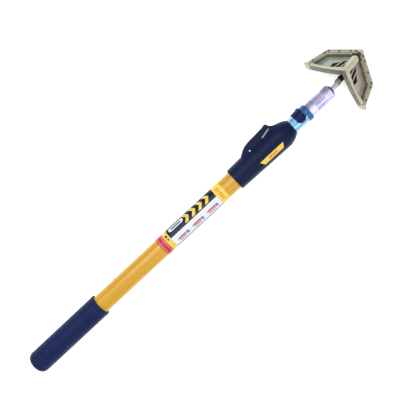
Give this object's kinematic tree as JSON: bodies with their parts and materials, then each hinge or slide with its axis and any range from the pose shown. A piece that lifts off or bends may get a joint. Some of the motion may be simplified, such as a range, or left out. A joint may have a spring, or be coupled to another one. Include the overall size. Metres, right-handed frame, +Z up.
{
  "type": "drywall corner finisher on an extension pole",
  "caption": "Telescoping extension pole with a rubber grip, thumb-trigger lock and a screwed tip, carrying a ball-jointed two-wing angle head for finishing drywall inside corners.",
  "frame": {"origin": "centre of the flat butt of the grip, on the pole's axis", "axes": "+X along the pole from the butt to the head, +Y towards the thumb trigger, +Z up, the side of the nameplate"},
  "size_m": [0.7325, 0.1246, 0.0713],
  "materials": {
    "yellow_tube": "gloss painted aluminium tube",
    "navy_grip": "soft satin rubber",
    "black_plastic": "matte moulded plastic",
    "label_film": "printed film",
    "navy_plastic": "fine textured moulded plastic",
    "trigger_plastic": "satin moulded plastic",
    "navy_latch": "satin moulded plastic",
    "nylon": "natural nylon",
    "nameplate_yellow": "printed plate",
    "screw_steel": "plated",
    "dark_screw": "dark oxide",
    "spring_steel": "bright wire",
    "pawl_steel": "plain",
    "pale_blue_tube": "pale blue anodised",
    "blue_collar": "blue anodised",
    "adapter_silver": "bright machined",
    "nut_steel": "zinc plated",
    "black_stem": "black coated",
    "cast_wing_left": "die cast, satin",
    "cast_wing_right": "die cast, satin",
    "clamp_metal": "cast strip",
    "blade_steel": "ground edge",
    "ridge_metal": "bright machined"
  },
  "bodies": {
    "handle": {"outer_tube": "yellow_tube", "base_grip": "navy_grip", "tube_end_plug": "black_plastic", "label_sleeve": "label_film", "housing_shell_upper": "navy_plastic", "housing_shell_lower": "navy_plastic", "housing_screws": "screw_steel", "guide_bush": "nylon", "wiper_ring": "nylon", "nameplate": "nameplate_yellow", "trigger_pin": "screw_steel", "trigger_spring": "spring_steel"},
    "trigger": {"trigger": "trigger_plastic"},
    "lock_pawl": {"lock_pawl": "pawl_steel"},
    "inner_pole": {"inner_tube": "pale_blue_tube", "inner_end_bush": "nylon", "tip_collar": "blue_collar", "threaded_tip": "blue_collar", "latch_spring": "spring_steel", "adapter_body": "adapter_silver", "adapter_rod": "adapter_silver", "rod_nut": "nut_steel", "ball_stem": "black_stem"},
    "tip_latch": {"tip_latch": "navy_latch"},
    "seat_rear": {"ball_seat_rear": "black_plastic"},
    "seat_front": {"ball_seat_front": "black_plastic"},
    "head": {"wing_frame_left": "cast_wing_left", "wing_frame_right": "cast_wing_right", "front_blade_left": "blade_steel", "front_blade_right": "blade_steel", "front_clamp_left": "clamp_metal", "front_clamp_right": "clamp_metal", "side_blade_left": "blade_steel", "side_blade_right": "blade_steel", "side_clamp_left": "clamp_metal", "side_clamp_right": "clamp_metal", "skid_left": "ridge_metal", "skid_right": "ridge_metal", "blade_screws_left": "dark_screw", "blade_screws_right": "dark_screw", "flange_screws_left": "screw_steel", "flange_screws_right": "screw_steel", "ridge_bar": "ridge_metal", "nose_block": "ridge_metal", "socket_body": "black_plastic", "socket_retainer": "black_plastic", "socket_screws": "screw_steel"}
  },
  "joints": [
    {"name": "pole_extend", "type": "slide", "parent": "handle", "child": "inner_pole", "axis": [1, 0, 0], "range_m": [0, 0.38]},
    {"name": "trigger_press", "type": "hinge", "parent": "handle", "child": "trigger", "pos_m": [0.496, 0.0176, 0], "axis": [0, 0, -1], "range_deg": [0, 7], "stiffness_Nm_per_rad": 0.8, "springref_deg": -8.59, "deforming": ["trigger_spring"]},
    {"name": "pawl_lift", "type": "slide", "parent": "handle", "child": "lock_pawl", "axis": [0, 1, 0], "range_m": [0, 0.0012]},
    {"name": "latch_slide", "type": "slide", "parent": "inner_pole", "child": "tip_latch", "axis": [-1, 0, 0], "range_m": [0, 0.004], "stiffness_N_per_m": 400, "springref_m": -0.004, "deforming": ["latch_spring"]},
    {"name": "head_spin", "type": "hinge", "parent": "inner_pole", "child": "seat_rear", "pos_m": [0.699, 0.006, 0], "axis": [0.9848, 0.1736, 0], "continuous": true},
    {"name": "head_pitch", "type": "hinge", "parent": "seat_rear", "child": "seat_front", "pos_m": [0.699, 0.006, 0], "axis": [-0.1736, 0.9848, 0], "range_deg": [-18, 18]},
    {"name": "head_yaw", "type": "hinge", "parent": "seat_front", "child": "head", "pos_m": [0.699, 0.006, 0], "axis": [0, 0, 1], "range_deg": [-18, 18]}
  ],
  "couplings": [
    {"joint": "pawl_lift", "follows": "trigger_press", "m_per_rad": 0.0085}
  ]
}
